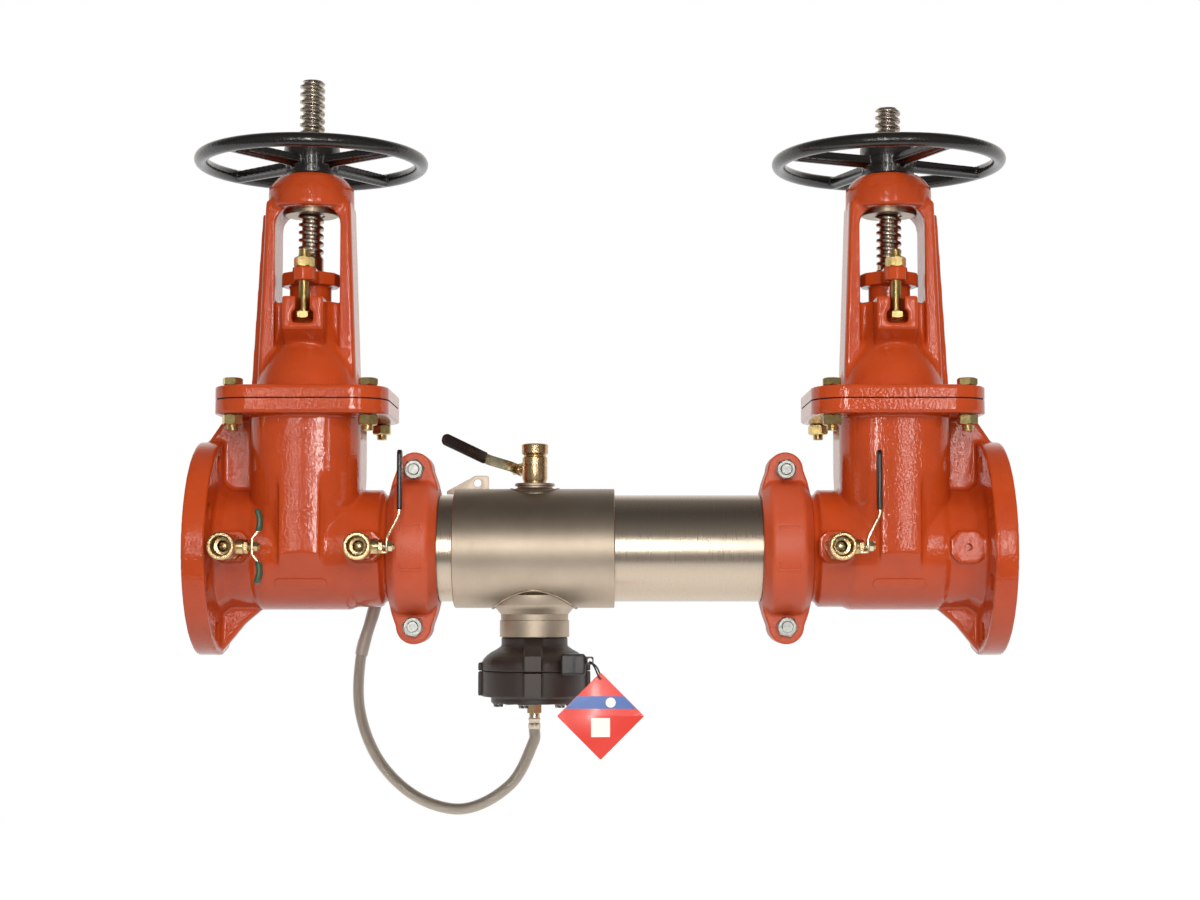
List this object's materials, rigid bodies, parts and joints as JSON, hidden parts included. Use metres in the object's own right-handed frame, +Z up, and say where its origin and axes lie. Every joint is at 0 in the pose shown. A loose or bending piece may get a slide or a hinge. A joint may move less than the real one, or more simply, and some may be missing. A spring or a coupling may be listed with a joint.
{
  "type": "reduced-pressure backflow preventer",
  "caption": "Reduced-pressure backflow preventer: stainless check body with an under-slung relief valve between two rising-stem flanged gate valves with handwheels.",
  "frame": {"origin": "centre of the inlet flange's face, on the pipe axis", "axes": "+X downstream along the pipe, +Y away from the side with the test cocks, +Z up along the stems"},
  "size_m": [0.8826, 0.2585, 0.7969],
  "materials": {
    "red_enamel": "gloss orange-red enamel on a sand casting",
    "orange_enamel": "semi-gloss orange enamel on a casting",
    "black_enamel": "gloss black enamel on cast iron",
    "stainless_steel": "satin stainless steel",
    "brass": "turned and forged brass",
    "yellow_zinc": "yellow-passivated zinc plate",
    "clear_zinc": "clear-passivated zinc plate",
    "epdm_rubber": "matt moulded rubber",
    "rubber_coated_iron": "matt moulded rubber skin over an iron core",
    "black_plastic": "fine-textured glass-filled plastic",
    "black_vinyl": "dip-moulded black vinyl over plated steel",
    "green_vinyl": "dark green vinyl over plated steel",
    "check_plastic": "moulded glass-filled plastic",
    "steel_braid": "woven stainless wire over a rubber tube",
    "tag_red": "printed film, plain fields of colour"
  },
  "bodies": {
    "assembly": {"inlet_valve_body": "red_enamel", "inlet_bonnet": "red_enamel", "inlet_bonnet_bolt_1": "yellow_zinc", "inlet_bonnet_bolt_2": "yellow_zinc", "inlet_bonnet_bolt_3": "yellow_zinc", "inlet_bonnet_bolt_4": "yellow_zinc", "inlet_gland": "red_enamel", "inlet_gland_bolt_front": "yellow_zinc", "inlet_gland_bolt_back": "yellow_zinc", "outlet_valve_body": "red_enamel", "outlet_bonnet": "red_enamel", "outlet_bonnet_bolt_1": "yellow_zinc", "outlet_bonnet_bolt_2": "yellow_zinc", "outlet_bonnet_bolt_3": "yellow_zinc", "outlet_bonnet_bolt_4": "yellow_zinc", "outlet_gland": "red_enamel", "outlet_gland_bolt_front": "yellow_zinc", "outlet_gland_bolt_back": "yellow_zinc", "inlet_coupling_front": "orange_enamel", "inlet_coupling_back": "orange_enamel", "inlet_coupling_gasket": "epdm_rubber", "inlet_coupling_bolt_top": "clear_zinc", "inlet_coupling_bolt_bottom": "clear_zinc", "outlet_coupling_front": "orange_enamel", "outlet_coupling_back": "orange_enamel", "outlet_coupling_gasket": "epdm_rubber", "outlet_coupling_bolt_top": "clear_zinc", "outlet_coupling_bolt_bottom": "clear_zinc", "zone_body": "stainless_steel", "check_1_seat": "check_plastic", "check_1_spring": "stainless_steel", "check_2_seat": "check_plastic", "check_2_spring": "stainless_steel", "relief_body": "black_plastic", "relief_cover": "black_plastic", "relief_diaphragm": "epdm_rubber", "relief_spring": "stainless_steel", "test_cock_1_body": "brass", "test_cock_2_body": "brass", "test_cock_3_body": "brass", "test_cock_4_body": "brass", "sensing_hose": "steel_braid", "hose_lower_fitting": "brass", "hose_upper_fitting": "brass", "flood_sensor": "black_plastic"},
    "inlet_stem_and_wedge": {"inlet_stem": "stainless_steel", "inlet_wedge": "rubber_coated_iron"},
    "inlet_wheel": {"inlet_handwheel": "black_enamel"},
    "outlet_stem_and_wedge": {"outlet_stem": "stainless_steel", "outlet_wedge": "rubber_coated_iron"},
    "outlet_wheel": {"outlet_handwheel": "black_enamel"},
    "first_clapper": {"check_1_clapper": "epdm_rubber"},
    "second_clapper": {"check_2_clapper": "epdm_rubber"},
    "spindle": {"relief_spindle": "check_plastic"},
    "cock_1_lever": {"test_cock_1_handle": "green_vinyl"},
    "cock_2_lever": {"test_cock_2_handle": "black_vinyl"},
    "cock_3_lever": {"test_cock_3_handle": "black_vinyl"},
    "cock_4_lever": {"test_cock_4_handle": "black_vinyl"},
    "tag": {"hang_tag": "tag_red"}
  },
  "joints": [
    {"name": "inlet_wheel_turn", "type": "hinge", "parent": "assembly", "child": "inlet_wheel", "pos_m": [0.1143, 0, 0.42], "axis": [0, 0, 1], "range_deg": [-1275, 3187]},
    {"name": "inlet_stem_rise", "type": "slide", "parent": "assembly", "child": "inlet_stem_and_wedge", "axis": [0, 0, 1], "range_m": [-0.03, 0.075]},
    {"name": "outlet_wheel_turn", "type": "hinge", "parent": "assembly", "child": "outlet_wheel", "pos_m": [0.7429, 0, 0.42], "axis": [0, 0, 1], "range_deg": [0, 4462]},
    {"name": "outlet_stem_rise", "type": "slide", "parent": "assembly", "child": "outlet_stem_and_wedge", "axis": [0, 0, 1], "range_m": [0, 0.105]},
    {"name": "first_check_swing", "type": "hinge", "parent": "assembly", "child": "first_clapper", "pos_m": [0.2795, 0, 0.0425], "axis": [0, -1, 0], "range_deg": [0, 60], "stiffness_Nm_per_rad": 0.3, "springref_deg": -57.3, "deforming": ["check_1_spring"]},
    {"name": "second_check_swing", "type": "hinge", "parent": "assembly", "child": "second_clapper", "pos_m": [0.4855, 0, 0.0425], "axis": [0, -1, 0], "range_deg": [0, 60], "stiffness_Nm_per_rad": 0.3, "springref_deg": -57.3, "deforming": ["check_2_spring"]},
    {"name": "relief_opening", "type": "slide", "parent": "assembly", "child": "spindle", "axis": [0, 0, -1], "range_m": [0, 0.008], "stiffness_N_per_m": 2000, "springref_m": -0.004, "deforming": ["relief_spring", "relief_diaphragm"]},
    {"name": "cock_1_quarter_turn", "type": "hinge", "parent": "assembly", "child": "cock_1_lever", "pos_m": [0.044, -0.105, 0], "axis": [1, 0, 0], "range_deg": [0, 90]},
    {"name": "cock_2_quarter_turn", "type": "hinge", "parent": "assembly", "child": "cock_2_lever", "pos_m": [0.182, -0.105, 0], "axis": [1, 0, 0], "range_deg": [0, 90]},
    {"name": "cock_4_quarter_turn", "type": "hinge", "parent": "assembly", "child": "cock_4_lever", "pos_m": [0.6752, -0.105, 0], "axis": [1, 0, 0], "range_deg": [0, 90]},
    {"name": "cock_3_quarter_turn", "type": "hinge", "parent": "assembly", "child": "cock_3_lever", "pos_m": [0.3583, 0, 0.086], "axis": [-0.682, 0.7314, 0], "range_deg": [-18, 72]},
    {"name": "tag_swing", "type": "hinge", "parent": "assembly", "child": "tag", "pos_m": [0.4181, -0.054, -0.1196], "axis": [0, 1, 0], "range_deg": [-25, 25]}
  ],
  "couplings": [
    {"joint": "inlet_stem_rise", "follows": "inlet_wheel_turn", "m_per_rad": 0.001348},
    {"joint": "outlet_stem_rise", "follows": "outlet_wheel_turn", "m_per_rad": 0.001348}
  ]
}
